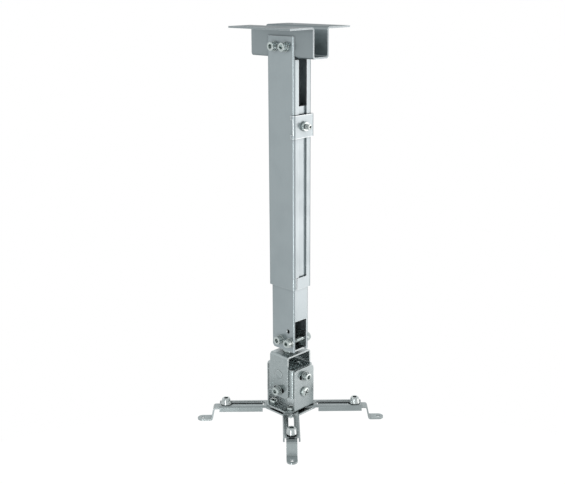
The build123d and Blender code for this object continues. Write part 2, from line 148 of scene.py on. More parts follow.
def rimAt(height, radius):
    def test(edge):
        ends = [point.co for point in edge.verts]
        level = all(abs(end.z - height) < tolerance["level"] for end in ends)
        return level and all(abs(end.xy.length - radius) < tolerance["radius"] for end in ends)
    return test


def grow(piece, steps, height, radius):
    # lifts the top face by each step and brings it to the next radius
    startEdit(piece)
    pick(piece, "faces", isTop(height))
    for rise, nextRadius in steps:
        bpy.ops.mesh.extrude_region_move(TRANSFORM_OT_translate={"value": (0, 0, rise)})
        factor = nextRadius / radius
        bpy.ops.transform.resize(value=(factor, factor, 1), center_override=(0, 0, 0))
        radius = nextRadius
    endEdit()


def smoothShade(piece, limit):
    activate(piece)
    bpy.ops.object.shade_smooth_by_angle(angle=radians(limit))


def softenEdges(piece, width, limit, rounds=2):
    smoothShade(piece, limit)
    finishWith(piece, "BEVEL", width=width, segments=rounds, limit_method="ANGLE",
               angle_limit=radians(limit), harden_normals=True)


def standOn(master, name, place, direction, turn):
    # a copy with its own mesh, its own +Z along the direction and its foot at the place
    piece = master.copy()
    piece.data = master.data.copy()
    piece.name = name
    bpy.context.scene.collection.objects.link(piece)
    aim = Vector((0, 0, 1)).rotation_difference(Vector(direction)).to_matrix().to_4x4()
    spin = Matrix.Rotation(radians(turn), 4, "Z")
    piece.data.transform(Matrix.Translation(place) @ aim @ spin)
    return piece


def dress(piece, node, material):
    piece.data.materials.clear()
    piece.data.materials.append(material)
    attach(piece, frame["nodes"][node]["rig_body"])
    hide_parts(node)


def setPiece(master, name, node, material, place, direction, turn=0.0):
    dress(standOn(master, name, place, direction, turn), node, material)


def titleOf(name):
    return name.replace("_", " ").title().replace(" ", "")


# Building shader trees

def newGroup(name, inputs, outputs):
    group = bpy.data.node_groups.new(name, "ShaderNodeTree")
    for label in inputs:
        group.interface.new_socket(label, in_out="INPUT", socket_type="NodeSocketFloat")
    for label in outputs:
        group.interface.new_socket(label, in_out="OUTPUT", socket_type="NodeSocketFloat")
    return group, group.nodes.new("NodeGroupInput"), group.nodes.new("NodeGroupOutput")


def fillSockets(tree, sockets, values):
    for socket, value in zip(sockets, values):
        if isinstance(value, bpy.types.NodeSocket):
            tree.links.new(value, socket)
        elif value is not None:
            socket.default_value = value


def addNode(tree, kind, options=None, **sockets):
    node = tree.nodes.new(kind)
    for key, value in (options or {}).items():
        setattr(node, key, value)
    fillSockets(tree, [node.inputs[key.replace("_", " ")] for key in sockets], sockets.values())
    return node


def maths(tree, operation, first, second=None, clamp=False):
    node = addNode(tree, "ShaderNodeMath", {"operation": operation, "use_clamp": clamp})
    fillSockets(tree, node.inputs, (first, second))
    return node.outputs[0]


def mixColours(tree, factor, first, second, blend="MIX"):
    node = addNode(tree, "ShaderNodeMix", {"data_type": "RGBA", "blend_type": blend})
    fillSockets(tree, [node.inputs[0], node.inputs[6], node.inputs[7]], (factor, first, second))
    return node.outputs[2]


def blendBy(tree, mask, share, first, second):
    return mixColours(tree, maths(tree, "MULTIPLY", mask, share), first, second)


def multiplied(tree, colour, shadeTone):
    return mixColours(tree, 1.0, colour, (shadeTone, shadeTone, shadeTone, 1), blend="MULTIPLY")


def remap(tree, value, low, high, newLow, newHigh):
    node = addNode(tree, "ShaderNodeMapRange", Value=value, From_Min=low, From_Max=high,
                   To_Min=newLow, To_Max=newHigh)
    return node.outputs["Result"]


def stretched(tree, vector, stretch, turn=(0, 0, 0)):
    node = addNode(tree, "ShaderNodeMapping", Vector=vector, Rotation=turn, Scale=stretch)
    return node.outputs["Vector"]


def noise(tree, vector, scale, detail, warp=0.0):
    node = addNode(tree, "ShaderNodeTexNoise", Vector=vector, Scale=scale, Detail=detail, Distortion=warp)
    return node.outputs[0]


def objectPlace(tree):
    return addNode(tree, "ShaderNodeTexCoord").outputs["Object"]


def useGroup(tree, group, **values):
    return addNode(tree, "ShaderNodeGroup", {"node_tree": group}, **values)


# Shader groups that more than one finish uses. Four numbers in a row bring the range of the
# first two to the range of the last two.

edgeWearAndHighlightLook = {"samples": 4, "bend": (1.0, 0.86, 0.0, 1.0), "detail": 3.0, "gate": (0.3, 0.6, 0.45, 1.0)}


def buildEdgeWearAndHighlight():
    # bright rub along outer edges, partly real wear and partly a painted highlight, broken up by a noise
    group, given, result = newGroup("edgeWearAndHighlight", ["Radius", "Strength", "Break"], ["Mask"])
    rounded = addNode(group, "ShaderNodeBevel", {"samples": edgeWearAndHighlightLook["samples"]},
                      Radius=given.outputs["Radius"])
    flat = addNode(group, "ShaderNodeNewGeometry").outputs["Normal"]
    bend = addNode(group, "ShaderNodeVectorMath", {"operation": "DOT_PRODUCT"})
    fillSockets(group, bend.inputs, (rounded.outputs["Normal"], flat))
    edge = remap(group, bend.outputs["Value"], *edgeWearAndHighlightLook["bend"])
    patch = noise(group, objectPlace(group), given.outputs["Break"], edgeWearAndHighlightLook["detail"])
    wornAndHighlit = maths(group, "MULTIPLY", edge, remap(group, patch, *edgeWearAndHighlightLook["gate"]))
    mask = maths(group, "MULTIPLY", wornAndHighlit, given.outputs["Strength"], clamp=True)
    group.links.new(mask, result.inputs["Mask"])
    return group


rollGrainLook = {"along": (1.0, 1.0, 0.06), "lineDetail": 2.0, "lineShare": 0.6, "speckDetail": 4.0,
                 "speckShare": 0.4, "waveScale": 90.0, "waveDetail": 1.0, "waveShare": 2.0,
                 "spread": (0.3, 0.7, 0.0, 1.0)}


def buildRollGrain():
    # fine lines that the rolling of the sheet leaves, and a coarser waviness
    look = rollGrainLook
    group, given, result = newGroup("rollGrain", ["Fineness"], ["Tone", "Height"])
    place = objectPlace(group)
    along = stretched(group, place, look["along"])
    lines = noise(group, along, given.outputs["Fineness"], look["lineDetail"])
    specks = noise(group, place, given.outputs["Fineness"], look["speckDetail"])
    both = maths(group, "ADD", maths(group, "MULTIPLY", lines, look["lineShare"]),
                 maths(group, "MULTIPLY", specks, look["speckShare"]))
    wave = noise(group, along, look["waveScale"], look["waveDetail"])
    height = maths(group, "ADD", both, maths(group, "MULTIPLY", wave, look["waveShare"]))
    group.links.new(remap(group, both, *look["spread"]), result.inputs["Tone"])
    group.links.new(height, result.inputs["Height"])
    return group


zincCloudLook = {"cellShare": 0.35, "cloudDetail": 4.0, "cloudShare": 0.9, "spread": (0.3, 0.95, 0.0, 1.0)}


def buildZincCloud():
    # the mottle of a zinc bath: small crystals in soft clouds
    look = zincCloudLook
    group, given, result = newGroup("zincCloud", ["Crystal", "Cloud"], ["Tone"])
    place = objectPlace(group)
    cells = addNode(group, "ShaderNodeTexVoronoi", {"feature": "F1"}, Vector=place,
                    Scale=given.outputs["Crystal"])
    cellTone = addNode(group, "ShaderNodeSeparateColor", Color=cells.outputs["Color"]).outputs["Red"]
    cloud = noise(group, place, given.outputs["Cloud"], look["cloudDetail"])
    mixed = maths(group, "ADD", maths(group, "MULTIPLY", cellTone, look["cellShare"]),
                  maths(group, "MULTIPLY", cloud, look["cloudShare"]))
    group.links.new(remap(group, mixed, *look["spread"]), result.inputs["Tone"])
    return group


handlingLook = {"smearDetail": 5.0, "smearWarp": 0.6, "smear": (0.42, 0.68, 0.0, 1.0),
                "slant": (0.5, 0.3, 0.7), "stretch": (1.0, 9.0, 1.0), "hairDetail": 2.0,
                "hairMiddle": 0.5, "hair": (0.0, 0.012, 1.0, 0.0)}


def buildHandling():
    # smudges and hairline scratches from packing and fitting
    look = handlingLook
    group, given, result = newGroup("handling", ["Smudge", "Scratch"], ["Smear", "Line"])
    place = objectPlace(group)
    smudge = noise(group, place, given.outputs["Smudge"], look["smearDetail"], look["smearWarp"])
    group.links.new(remap(group, smudge, *look["smear"]), result.inputs["Smear"])
    slanted = stretched(group, place, look["stretch"], look["slant"])
    hair = noise(group, slanted, given.outputs["Scratch"], look["hairDetail"])
    off = maths(group, "ABSOLUTE", maths(group, "SUBTRACT", hair, look["hairMiddle"]))
    group.links.new(remap(group, off, *look["hair"]), result.inputs["Line"])
    return group


creviceLook = {"samples": 6}


def buildCrevice():
    # how closed in a spot is: 1 in tight corners and gaps, 0 in the open; the finishes paint shade by this
    # mask
    group, given, result = newGroup("crevice", ["Reach", "Power"], ["Mask"])
    around = addNode(group, "ShaderNodeAmbientOcclusion", {"samples": creviceLook["samples"]},
                     Distance=given.outputs["Reach"])
    closed = maths(group, "SUBTRACT", 1.0, around.outputs["AO"], clamp=True)
    group.links.new(maths(group, "POWER", closed, given.outputs["Power"]), result.inputs["Mask"])
    return group


edgeWearAndHighlight = buildEdgeWearAndHighlight()
crevice = buildCrevice()
rollGrain = buildRollGrain()
zincCloud = buildZincCloud()
handling = buildHandling()


# Steps that the finishes share

def startMaterial(name, look):
    material = bpy.data.materials.new(name)
    material.use_nodes = True
    shader = material.node_tree.nodes["Principled BSDF"]
    shader.inputs["Metallic"].default_value = look["metallic"]
    return material, material.node_tree, shader


def wornAndHighlitEdges(tree, colour, look, kind):
    # outer edges go towards the pale rub colour: real wear and a painted highlight
    rubAndHighlight = useGroup(tree, edgeWearAndHighlight, Radius=kind["rubHighlightRadius"], Strength=kind["rubHighlightStrength"],
                   Break=look["rubHighlightBreak"])
    return mixColours(tree, rubAndHighlight.outputs["Mask"], colour, look["rubAndHighlight"])


def paintedShadeIn(tree, colour, look):
    # painted shade: tight corners and gaps go towards the shade colour
    tight = useGroup(tree, crevice, Reach=look["tightReach"], Power=look["tightPower"])
    return mixColours(tree, tight.outputs["Mask"], colour, look["shade"])


def paintedCavityLight(tree, colour, lightColour, most):
    # painted light: metal that is seen in other metal gets a paler colour by the inside share, so that a
    # cavity doesn't go black
    path = addNode(tree, "ShaderNodeLightPath")
    return blendBy(tree, path.outputs["Is Glossy Ray"], most, colour, lightColour)


def setRoughness(tree, shader, mask, look):
    tree.links.new(remap(tree, mask, 0.0, 1.0, *look["roughness"]), shader.inputs["Roughness"])


def setBump(tree, shader, height, look):
    bump = addNode(tree, "ShaderNodeBump", Strength=look["bump"], Distance=look["bumpDepth"], Height=height)
    tree.links.new(bump.outputs["Normal"], shader.inputs["Normal"])


# Satin silver coat of the ceiling bracket, both columns and the clamp plate
silverLook = {"metallic": 0.85, "pale": (0.335, 0.385, 0.40, 1), "deep": (0.29, 0.335, 0.35, 1),
              "rubAndHighlight": (0.80, 0.84, 0.85, 1), "shade": (0.10, 0.115, 0.12, 1), "grazing": (0.24, 0.27, 0.28, 1),
              "grain": 1700.0, "grainShare": 0.35, "smudge": 26.0, "scratch": 120.0, "smearShare": 0.35,
              "far": (0.17, 0.20, 0.21, 1), "farShadeReach": 0.028, "farShadePower": 1.6, "farShadeShare": 0.6,
              "rubHighlightBreak": 700.0, "tightReach": 0.005, "tightPower": 1.3, "roughness": (0.28, 0.36),
              "bump": 0.03, "bumpDepth": 0.0002}
# a kind's tone darkens all of it, as painted shade
silverKinds = {"silverCoat": {"rubHighlightRadius": 0.0005, "rubHighlightStrength": 0.75, "shadeTone": 1.0, "inside": 0.65},
               "clampCoat": {"rubHighlightRadius": 0.0016, "rubHighlightStrength": 1.0, "shadeTone": 1.0, "inside": 0.65},
               "bracketCoat": {"rubHighlightRadius": 0.0005, "rubHighlightStrength": 0.9, "shadeTone": 0.80, "inside": 0.85}}


def makeSilverCoat(name):
    look = silverLook
    kind = silverKinds[name]
    material, tree, shader = startMaterial(name, look)
    shader.inputs["Specular Tint"].default_value = look["grazing"]
    grain = useGroup(tree, rollGrain, Fineness=look["grain"])
    marks = useGroup(tree, handling, Smudge=look["smudge"], Scratch=look["scratch"])
    # painted shade: spots that are closed in over a wide reach go towards the far colour
    far = useGroup(tree, crevice, Reach=look["farShadeReach"], Power=look["farShadePower"])
    grained = blendBy(tree, grain.outputs["Tone"], look["grainShare"], look["pale"], look["deep"])
    smeared = blendBy(tree, marks.outputs["Smear"], look["smearShare"], grained, look["deep"])
    shadeToned = multiplied(tree, smeared, kind["shadeTone"])
    shaded = blendBy(tree, far.outputs["Mask"], look["farShadeShare"], shadeToned, look["far"])
    closed = paintedShadeIn(tree, wornAndHighlitEdges(tree, shaded, look, kind), look)
    tree.links.new(paintedCavityLight(tree, closed, look["rubAndHighlight"], kind["inside"]), shader.inputs["Base Color"])
    setRoughness(tree, shader, marks.outputs["Smear"], look)
    setBump(tree, shader, grain.outputs["Height"], look)
    return material


# Grey zinc plate of the head, the hub, the arms, the feet and the rivets
zincLook = {"metallic": 1.0, "pale": (0.355, 0.405, 0.41, 1), "deep": (0.285, 0.33, 0.335, 1),
            "rubAndHighlight": (0.86, 0.89, 0.89, 1), "shade": (0.05, 0.06, 0.06, 1), "slot": (0.03, 0.035, 0.037, 1),
            "crystal": 520.0, "cloud": 70.0, "cloudShare": 0.7, "grain": 1300.0, "smudge": 55.0,
            "scratch": 190.0, "scratchShare": 0.18, "inner": (0.045, 0.052, 0.055, 1), "innerShadeReach": 0.010,
            "innerShadePower": 1.5, "innerShadeShare": 0.9, "inside": 0.65, "rubHighlightRadius": 0.0006, "rubHighlightStrength": 0.9,
            "rubHighlightBreak": 260.0, "tightReach": 0.0018, "tightPower": 0.8, "roughness": (0.22, 0.34),
            "bump": 0.05, "bumpDepth": 0.0002}
# a kind's tone darkens all of it, as painted shade
zincKinds = {"zincSheet": {"shadeTone": 1.0, "slots": False}, "armSheet": {"shadeTone": 0.80, "slots": True},
             "footSheet": {"shadeTone": 0.86, "slots": False}}
# Half the slot's width, its start from the axis, and the most that a wall's normal may rise
slotPlace = {"half": 0.0035, "from": 0.034, "steep": 0.5}


def slotShadeFaces(tree):
    # 1 on the upright cut faces of the arms' slots, which run along the plan's diagonals, where dark shade is
    # painted
    x, y = addNode(tree, "ShaderNodeSeparateXYZ", Vector=objectPlace(tree)).outputs[:2]
    facing = addNode(tree, "ShaderNodeNewGeometry").outputs["True Normal"]
    lean = maths(tree, "ABSOLUTE", addNode(tree, "ShaderNodeSeparateXYZ", Vector=facing).outputs["Z"])
    sides = [maths(tree, "ABSOLUTE", maths(tree, kind, x, y)) for kind in ("ADD", "SUBTRACT")]
    across = maths(tree, "MULTIPLY", maths(tree, "MINIMUM", *sides), sqrt(0.5))
    along = maths(tree, "MULTIPLY", maths(tree, "MAXIMUM", *sides), sqrt(0.5))
    inSlot = maths(tree, "LESS_THAN", across, slotPlace["half"])
    isWall = maths(tree, "LESS_THAN", lean, slotPlace["steep"])
    isOut = maths(tree, "GREATER_THAN", along, slotPlace["from"])
    return maths(tree, "MULTIPLY", maths(tree, "MULTIPLY", inSlot, isWall), isOut)


def makeZincSheet(name):
    look = zincLook
    kind = zincKinds[name]
    material, tree, shader = startMaterial(name, look)
    cloud = useGroup(tree, zincCloud, Crystal=look["crystal"], Cloud=look["cloud"])
    grain = useGroup(tree, rollGrain, Fineness=look["grain"])
    marks = useGroup(tree, handling, Smudge=look["smudge"], Scratch=look["scratch"])
    # painted shade: the insides of channels and hollows go towards the inner colour
    inner = useGroup(tree, crevice, Reach=look["innerShadeReach"], Power=look["innerShadePower"])
    mottled = blendBy(tree, cloud.outputs["Tone"], look["cloudShare"], look["pale"], look["deep"])
    scratched = blendBy(tree, marks.outputs["Line"], look["scratchShare"], mottled, look["rubAndHighlight"])
    shaded = blendBy(tree, inner.outputs["Mask"], look["innerShadeShare"], scratched, look["inner"])
    closed = paintedShadeIn(tree, wornAndHighlitEdges(tree, shaded, look, look), look)
    shadeToned = multiplied(tree, closed, kind["shadeTone"])
    # painted shade: the upright walls of the arms' slots go dark
    if kind["slots"]:
        shadeToned = mixColours(tree, slotShadeFaces(tree), shadeToned, look["slot"])
    tree.links.new(paintedCavityLight(tree, shadeToned, look["rubAndHighlight"], look["inside"]), shader.inputs["Base Color"])
    both = maths(tree, "ADD", cloud.outputs["Tone"], marks.outputs["Smear"])
    setRoughness(tree, shader, maths(tree, "MULTIPLY", both, 0.5), look)
    setBump(tree, shader, grain.outputs["Height"], look)
    return material


# Bright zinc of the screws, nuts, washers and studs
brightLook = {"metallic": 1.0, "pale": (0.51, 0.57, 0.56, 1), "deep": (0.31, 0.36, 0.355, 1),
              "rubAndHighlight": (0.86, 0.88, 0.87, 1), "shade": (0.03, 0.036, 0.036, 1), "crystal": 1500.0,
              "cloud": 260.0, "cloudShare": 0.6, "smudge": 200.0, "scratch": 600.0, "rubHighlightRadius": 0.0003,
              "rubHighlightStrength": 0.4, "rubHighlightBreak": 1500.0, "tightReach": 0.0015, "tightPower": 0.8,
              "roughness": (0.20, 0.32), "bump": 0.05, "bumpDepth": 0.0001}


def makeBrightZinc():
    look = brightLook
    material, tree, shader = startMaterial("brightZinc", look)
    cloud = useGroup(tree, zincCloud, Crystal=look["crystal"], Cloud=look["cloud"])
    marks = useGroup(tree, handling, Smudge=look["smudge"], Scratch=look["scratch"])
    mottled = blendBy(tree, cloud.outputs["Tone"], look["cloudShare"], look["pale"], look["deep"])
    closed = paintedShadeIn(tree, wornAndHighlitEdges(tree, mottled, look, look), look)
    tree.links.new(closed, shader.inputs["Base Color"])
    setRoughness(tree, shader, marks.outputs["Smear"], look)
    setBump(tree, shader, cloud.outputs["Tone"], look)
    return material


# Bright nickel of the thumb nuts
nickelLook = {"metallic": 1.0, "pale": (0.46, 0.50, 0.50, 1), "deep": (0.36, 0.40, 0.40, 1),
              "shade": (0.03, 0.035, 0.035, 1), "smudge": 240.0, "scratch": 800.0, "tightReach": 0.003,
              "tightPower": 1.0, "roughness": (0.07, 0.16)}


def makeBrightNickel():
    look = nickelLook
    material, tree, shader = startMaterial("brightNickel", look)
    marks = useGroup(tree, handling, Smudge=look["smudge"], Scratch=look["scratch"])
    smeared = mixColours(tree, marks.outputs["Smear"], look["pale"], look["deep"])
    tree.links.new(paintedShadeIn(tree, smeared, look), shader.inputs["Base Color"])
    setRoughness(tree, shader, marks.outputs["Smear"], look)
    return material


silverCoat = makeSilverCoat("silverCoat")
bracketCoat = makeSilverCoat("bracketCoat")
clampCoat = makeSilverCoat("clampCoat")
zincSheet = makeZincSheet("zincSheet")
armSheet = makeZincSheet("armSheet")
footSheet = makeZincSheet("footSheet")
brightZinc = makeBrightZinc()
brightNickel = makeBrightNickel()


# Sheet pieces keep the shape of their nodes and get broken edges

sheetEdges = {"ceiling_bracket": 0.30, "outer_column": 0.28, "inner_column": 0.25, "clamp_plate": 0.25,
              "swivel_bracket": 0.20, "upper_bracket": 0.28, "cross_block": 0.25, "lower_bracket": 0.28,
              "hub_lower_plate": 0.25}
cradleEdges = {"arm": 0.25, "foot": 0.22}
sheetFinish = {"ceiling_bracket": bracketCoat, "outer_column": silverCoat, "inner_column": silverCoat,
               "clamp_plate": clampCoat}
# Degrees up to which faces are one plane, and from which an edge is broken
sheetLook = {"flat": 0.8, "sharp": 40}
armNames = ("left", "front", "right", "rear")


def dressSheet(node, edge, finish):
    source = frame["nodes"][node]
    piece = source.copy()
    piece.data = source.data.copy()
    piece.name = titleOf(node) + "Sheet"
    piece.parent = None
    del piece["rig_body"], piece["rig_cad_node"]
    bpy.context.scene.collection.objects.link(piece)
    startEdit(piece)
    bpy.ops.mesh.select_all(action="SELECT")
    bpy.ops.mesh.remove_doubles(threshold=tolerance["merge"])
    bpy.ops.mesh.customdata_custom_splitnormals_clear()
    bpy.ops.mesh.dissolve_limited(angle_limit=radians(sheetLook["flat"]))
    endEdit()
    softenEdges(piece, edge * mm, sheetLook["sharp"])
    dress(piece, node, finish)


for nodeName, edgeWidth in sheetEdges.items():
    dressSheet(nodeName, edgeWidth, sheetFinish.get(nodeName, zincSheet))
for armName in armNames:
    dressSheet("arm_" + armName, cradleEdges["arm"], armSheet)
    dressSheet("foot_" + armName, cradleEdges["foot"], footSheet)
print("sheet pieces dressed:", len(sheetEdges) + 2 * len(armNames))


# Screws, nuts and washers

threadLook = {"steps": 20, "depth": 0.61, "spare": 3, "smooth": 40}     # depth as a share of the pitch


def threadedRod(name, radius, pitch, length):
    # a one-pitch edge is swept up its axis as a helix, then cut to length
    turns = int(length / pitch) + threadLook["spare"]
    root = radius - threadLook["depth"] * pitch
    activateNothing()
    bpy.ops.mesh.primitive_plane_add(size=pitch, location=(root + pitch / 2, 0, -pitch / 2),
                                     rotation=(pi / 2, 0, 0))
    rod = bpy.context.active_object
    rod.name = name
    bpy.ops.object.transform_apply(location=True, rotation=True, scale=True)
    startEdit(rod, "VERT")
    pick(rod, "verts", lambda point: point.co.x > root + pitch / 2)
    bpy.ops.mesh.delete(type="VERT")
    bpy.ops.mesh.select_all(action="SELECT")
    bpy.ops.mesh.subdivide(number_cuts=1)
    pick(rod, "verts", lambda point: abs(point.co.z + pitch / 2) < pitch / 10)
    bpy.ops.transform.translate(value=(radius - root, 0, 0))
    endEdit()
    finishWith(rod, "SCREW", screw_offset=pitch, iterations=turns, steps=threadLook["steps"],
               render_steps=threadLook["steps"], use_merge_vertices=True, merge_threshold=tolerance["seam"])
    startEdit(rod, "VERT")
    bpy.ops.mesh.select_all(action="SELECT")
    bpy.ops.mesh.remove_doubles(threshold=tolerance["merge"])
    bpy.ops.mesh.bisect(plane_co=(0, 0, length), plane_no=(0, 0, 1), clear_outer=True, use_fill=True)
    bpy.ops.mesh.select_all(action="SELECT")
    bpy.ops.mesh.bisect(plane_co=(0, 0, 0), plane_no=(0, 0, 1), clear_inner=True, use_fill=True)
    bpy.ops.mesh.select_all(action="SELECT")
    bpy.ops.mesh.normals_make_consistent(inside=False)
    endEdit()
    smoothShade(rod, threadLook["smooth"])
    return rod


def shankBelow(head, radius, pitch, length):
    # joins a threaded rod that hangs from the head's seat
    rod = threadedRod("rod", radius, pitch, length)
    rod.data.transform(Matrix.Translation((0, 0, -length)))
    joinTo(head, rod)


def cutSocket(piece, acrossFlats, top, depth):
    key = addCylinder("key", acrossFlats / 2 / cos(pi / 6), depth + cutOver, 6, top - depth)
    combine(piece, key, "DIFFERENCE")


capLook = {"sides": 48, "edge": 0.6, "edgeRounds": 3, "knurl": 0.16, "knurlRim": 0.08, "headHeight": 6.0,
           "headRadius": 5.0, "key": 5.0, "keyDepth": 3.0, "pitch": 1.0, "radius": 3.0, "smooth": 28}


def socketScrew(length):
    height = capLook["headHeight"] * mm
    radius = capLook["headRadius"] * mm
    head = addCylinder("screwMaster", radius, height, capLook["sides"])
    startEdit(head, "EDGE")
    pick(head, "edges", rimAt(height, radius))
    bpy.ops.mesh.bevel(offset=capLook["edge"] * mm, segments=capLook["edgeRounds"], affect="EDGES")
    bpy.ops.mesh.select_mode(type="FACE")
    pick(head, "faces", lambda face: abs(face.normal.z) < normalRise["side"])
    bpy.ops.mesh.inset(thickness=capLook["knurlRim"] * mm, depth=-capLook["knurl"] * mm, use_individual=True)
    endEdit()
    cutSocket(head, capLook["key"] * mm, height, capLook["keyDepth"] * mm)
    smoothShade(head, capLook["smooth"])
    shankBelow(head, capLook["radius"] * mm, capLook["pitch"] * mm, length)
    return head


nutLook = {"flats": 10.0, "height": 5.0, "sides": 60, "over": 1.002, "chamfer": 0.85, "boreSides": 36,
           "edge": 0.10, "sharp": 25}


def hexNut(name, acrossFlats, height, bore):
    flat = acrossFlats / 2
    corner = flat / cos(pi / 6)
    blank = addCylinder(name, corner, height, 6)
    turned = addCylinder("turned", corner * nutLook["over"], height, nutLook["sides"])
    startEdit(turned, "EDGE")
    for level in (0, height):
        pick(turned, "edges", rimAt(level, corner * nutLook["over"]))
        bpy.ops.mesh.bevel(offset=(corner - flat) * nutLook["chamfer"], segments=1, affect="EDGES")
    endEdit()
    combine(blank, turned, "INTERSECT")
    hole = addCylinder("hole", bore, height * 2, nutLook["boreSides"], -height / 2)
    combine(blank, hole, "DIFFERENCE")
    softenEdges(blank, nutLook["edge"] * mm, nutLook["sharp"])
    return blank


washerLook = {"thick": 1.4, "sides": 64, "boreSides": 48, "edge": 0.15, "sharp": 40}


def flatWasher(outer, bore, thick):
    ring = addCylinder("washerMaster", outer, thick, washerLook["sides"])
    hole = addCylinder("hole", bore, thick * 3, washerLook["boreSides"], -thick)
    combine(ring, hole, "DIFFERENCE")
    softenEdges(ring, washerLook["edge"] * mm, washerLook["sharp"])
    return ring


panLook = {"sides": 64, "slotWidth": 1.7, "slotEnd": 0.75, "slotFoot": 0.9, "rim": 0.55,
           "rises": ((0.20, 0.975), (0.12, 0.91), (0.08, 0.74), (0.05, 0.45)), "smooth": 35}


def panScrew(values, radius, length):
    # values holds the head's height, its cross and the shank in mm
    height = values["height"] * mm
    depth = values["depth"] * mm
    rim = height * panLook["rim"]
    head = addCylinder("panMaster", radius, rim, panLook["sides"])
    grow(head, [(height * rise, radius * share) for rise, share in panLook["rises"]], rim, radius)
    for turn in (0, 90):
        bpy.ops.mesh.primitive_cube_add(size=1, location=(0, 0, height - depth / 2 + cutOver / 2))
        blade = bpy.context.active_object
        blade.scale = (values["cross"] * mm, panLook["slotWidth"] * mm, depth + cutOver)
        blade.rotation_euler = (0, 0, radians(turn))
        bpy.ops.object.transform_apply(location=True, rotation=True, scale=True)
        startEdit(blade, "VERT")
        pick(blade, "verts", lambda point: point.co.z < height - depth * panLook["slotFoot"])
        bpy.ops.transform.resize(value=(panLook["slotEnd"], panLook["slotEnd"], 1), center_override=(0, 0, 0))
        endEdit()
        combine(head, blade, "DIFFERENCE")
    smoothShade(head, panLook["smooth"])
    shankBelow(head, values["shank"] * mm, values["pitch"] * mm, length)
    return head


def innerEnd(node, index):
    # where the piece on the plus side of a pair ends, towards the middle
    return min(point.co[index] for point in frame["nodes"][node].data.vertices if point.co[index] > 0)


# Cross bolts at the top and the foot of the column

crossSets = {"column_top": {"turns": (12, 41)}, "column_foot": {"turns": (27, 55)}}
crossNutTurn = 30


def sidePlaces(node, radius):
    # the two places along X of a node that holds a row of two
    low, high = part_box(node)
    return [("Rear", low.x + radius), ("Open", high.x - radius)]


def dressCrossBolts(setName, turns):
    bolts, washers, nuts = (setName + part for part in ("_bolts", "_washers", "_nuts"))
    boltLow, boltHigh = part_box(bolts)
    washLow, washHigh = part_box(washers)
    nutLow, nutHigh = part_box(nuts)
    height = (boltLow.z + boltHigh.z) / 2
    headHeight = capLook["headHeight"] * mm
    thick = washerLook["thick"] * mm
    bore = capLook["radius"] * mm
    screw = socketScrew(boltHigh.y - boltLow.y - headHeight)
    ring = flatWasher((washHigh.z - washLow.z) / 2, bore, thick)
    nut = hexNut("nutMaster", (nutHigh.z - nutLow.z) * cos(pi / 6), nutHigh.y - nutLow.y, bore)
    title = titleOf(setName)
    for (side, x), turn in zip(sidePlaces(bolts, capLook["headRadius"] * mm), turns):
        seat = Vector((x, boltLow.y + headHeight, height))
        near = Vector((x, washLow.y + thick, height))
        far = Vector((x, washHigh.y - thick, height))
        nutSeat = Vector((x, nutLow.y, height))
        setPiece(screw, f"{title}Screw{side}", bolts, brightZinc, seat, (0, -1, 0), turn)
        setPiece(ring, f"{title}Washer{side}Near", washers, brightZinc, near, (0, -1, 0))
        setPiece(ring, f"{title}Washer{side}Far", washers, brightZinc, far, (0, 1, 0))
        setPiece(nut, f"{title}Nut{side}", nuts, brightZinc, nutSeat, (0, 1, 0), crossNutTurn)
    discard(screw, ring, nut)


for crossName, crossValues in crossSets.items():
    dressCrossBolts(crossName, crossValues["turns"])
print("cross bolts made")


# Lock bolts in the arc slots

lockSets = {"tilt_lock": {"axis": "y", "turns": (18, 44)}, "roll_lock": {"axis": "x", "turns": (35, 8)}}
signs = (("Minus", -1), ("Plus", 1))


def axisVector(axis, value):
    return Vector((value, 0, 0)) if axis == "x" else Vector((0, value, 0))


def dressLockBolts(setName, axis, turns):
    bolts, washers, nuts = (setName + part for part in ("_bolts", "_washers", "_nuts"))
    boltLow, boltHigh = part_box(bolts)
    washLow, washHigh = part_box(washers)
    index = "xyz".index(axis)
    up = Vector((0, 0, (boltLow.z + boltHigh.z) / 2))
    thick = washerLook["thick"] * mm
    bore = capLook["radius"] * mm
    headSeat = boltHigh[index] - capLook["headHeight"] * mm
    ringSeat = washHigh[index] - thick
    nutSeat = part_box(nuts)[1][index]
    screw = socketScrew(headSeat - innerEnd(bolts, index))
    ring = flatWasher((washHigh.z - washLow.z) / 2, bore, thick)
    nut = hexNut("nutMaster", nutLook["flats"] * mm, nutLook["height"] * mm, bore)
    title = titleOf(setName)
    for (side, sign), turn in zip(signs, turns):
        out = axisVector(axis, sign)
        setPiece(screw, f"{title}Screw{side}", bolts, brightZinc, up + out * headSeat, out, turn)
        setPiece(ring, f"{title}Washer{side}", washers, brightZinc, up + out * ringSeat, out)
        setPiece(nut, f"{title}Nut{side}", nuts, brightZinc, up + out * nutSeat, -out)
    discard(screw, ring, nut)


for lockName, lockValues in lockSets.items():
    dressLockBolts(lockName, lockValues["axis"], lockValues["turns"])
print("lock bolts made")


# Pivot screws of the roll axis and of the arms

rollPan = {"height": 3.4, "shank": 3.0, "pitch": 1.0, "cross": 9.0, "depth": 2.2, "turns": (20, 62)}


def dressRollPivots():
    low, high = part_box("roll_pivot_screws")
    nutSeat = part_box("roll_pivot_nuts")[1].x
    seat = high.x - rollPan["height"] * mm
    up = Vector((0, 0, (high.z + low.z) / 2))
    screw = panScrew(rollPan, (high.z - low.z) / 2, seat - innerEnd("roll_pivot_screws", 0))
    nut = hexNut("nutMaster", nutLook["flats"] * mm, nutLook["height"] * mm, rollPan["shank"] * mm)
    for (side, sign), turn in zip(signs, rollPan["turns"]):
        out = Vector((sign, 0, 0))
        setPiece(screw, f"RollPivotScrew{side}", "roll_pivot_screws", brightZinc, up + out * seat, out, turn)
        setPiece(nut, f"RollPivotNut{side}", "roll_pivot_nuts", brightZinc, up + out * nutSeat, -out)
    discard(screw, nut)


dressRollPivots()


